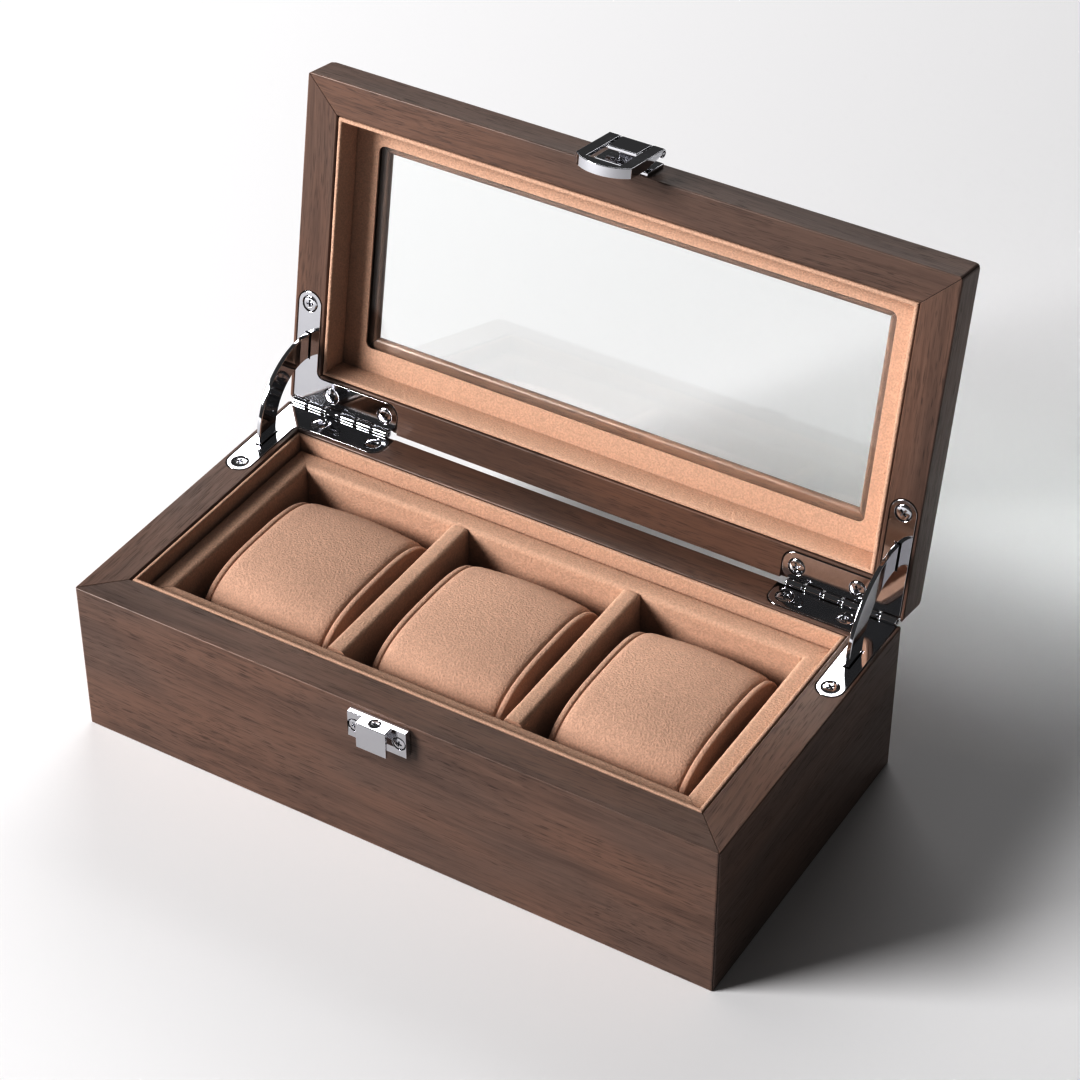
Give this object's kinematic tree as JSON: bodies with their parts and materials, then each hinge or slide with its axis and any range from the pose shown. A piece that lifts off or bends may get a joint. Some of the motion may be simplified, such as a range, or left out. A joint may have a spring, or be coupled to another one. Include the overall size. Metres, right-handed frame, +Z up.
{
  "type": "watch box",
  "caption": "Lined wooden box with padded watch compartments and loose cushions, a hinged glass lid on stay arms, and a front clasp.",
  "frame": {"origin": "centre of the underside, on the felt", "axes": "+X along the width to the right, +Y to the hinge side at the back, +Z up; the lid stands open"},
  "size_m": [0.24, 0.1661, 0.1901],
  "materials": {
    "walnut": "satin lacquer, open grain",
    "panel_board": "plain board",
    "liner_suede": "peach micro-suede on board",
    "cushion_suede": "peach micro-suede on foam",
    "felt": "short dark felt",
    "glass": "clear and polished",
    "chrome": "mirror plated"
  },
  "bodies": {
    "base": {"base_front_panel": "walnut", "base_right_panel": "walnut", "base_back_panel": "walnut", "base_left_panel": "walnut", "bottom_panel": "panel_board", "underside_felt": "felt", "base_liner_front": "liner_suede", "base_liner_right": "liner_suede", "base_liner_back": "liner_suede", "base_liner_left": "liner_suede", "tray_floor": "liner_suede", "tray_wall_front": "liner_suede", "tray_wall_right": "liner_suede", "tray_wall_back": "liner_suede", "tray_wall_left": "liner_suede", "tray_divider_left": "liner_suede", "tray_divider_right": "liner_suede", "hinge_base_leaf_left": "chrome", "hinge_base_leaf_right": "chrome", "hinge_pin_left": "chrome", "hinge_pin_right": "chrome", "base_leaf_screw_left_1": "chrome", "base_leaf_screw_left_2": "chrome", "base_leaf_screw_left_3": "chrome", "base_leaf_screw_right_1": "chrome", "base_leaf_screw_right_2": "chrome", "base_leaf_screw_right_3": "chrome", "catch_plate": "chrome", "catch_screw_1": "chrome", "catch_screw_2": "chrome", "catch_top_screw": "chrome"},
    "lid": {"lid_front_rail": "walnut", "lid_right_rail": "walnut", "lid_back_rail": "walnut", "lid_left_rail": "walnut", "lid_liner_front": "liner_suede", "lid_liner_right": "liner_suede", "lid_liner_back": "liner_suede", "lid_liner_left": "liner_suede", "lid_window_ledge": "liner_suede", "lid_glass": "glass", "hinge_lid_leaf_left": "chrome", "hinge_lid_leaf_right": "chrome", "lid_leaf_screw_left_1": "chrome", "lid_leaf_screw_left_2": "chrome", "lid_leaf_screw_left_3": "chrome", "lid_leaf_screw_right_1": "chrome", "lid_leaf_screw_right_2": "chrome", "lid_leaf_screw_right_3": "chrome", "clasp_mount": "chrome", "clasp_pin": "chrome", "clasp_screw_1": "chrome", "clasp_screw_2": "chrome"},
    "stay_arm_left": {"stay_arm_left": "chrome"},
    "stay_arm_right": {"stay_arm_right": "chrome"},
    "clasp_lever": {"clasp_lever": "chrome"},
    "cushion_left": {"cushion_left": "cushion_suede"},
    "cushion_middle": {"cushion_middle": "cushion_suede"},
    "cushion_right": {"cushion_right": "cushion_suede"}
  },
  "joints": [
    {"name": "lid_hinge", "type": "hinge", "parent": "base", "child": "lid", "pos_m": [0, 0.0618, 0.0594], "axis": [-1, 0, 0], "range_deg": [-100, 0]},
    {"name": "stay_arm_slide_left", "type": "hinge", "parent": "base", "child": "stay_arm_left", "pos_m": [0, 0.0618, 0.0594], "axis": [-1, 0, 0], "range_deg": [-74.6, 0]},
    {"name": "stay_arm_slide_right", "type": "hinge", "parent": "base", "child": "stay_arm_right", "pos_m": [0, 0.0618, 0.0594], "axis": [-1, 0, 0], "range_deg": [-74.6, 0]},
    {"name": "clasp_lever_hinge", "type": "hinge", "parent": "lid", "child": "clasp_lever", "pos_m": [0, 0.09363, 0.18407], "axis": [-1, 0, 0], "range_deg": [0, 85]},
    {"name": "cushion_lift_left", "type": "slide", "parent": "base", "child": "cushion_left", "axis": [0, 0, 1], "range_m": [0, 0.06]},
    {"name": "cushion_lift_middle", "type": "slide", "parent": "base", "child": "cushion_middle", "axis": [0, 0, 1], "range_m": [0, 0.06]},
    {"name": "cushion_lift_right", "type": "slide", "parent": "base", "child": "cushion_right", "axis": [0, 0, 1], "range_m": [0, 0.06]}
  ],
  "couplings": [
    {"joint": "stay_arm_slide_left", "follows": "lid_hinge", "ratio": 0.745},
    {"joint": "stay_arm_slide_right", "follows": "lid_hinge", "ratio": 0.745}
  ]
}
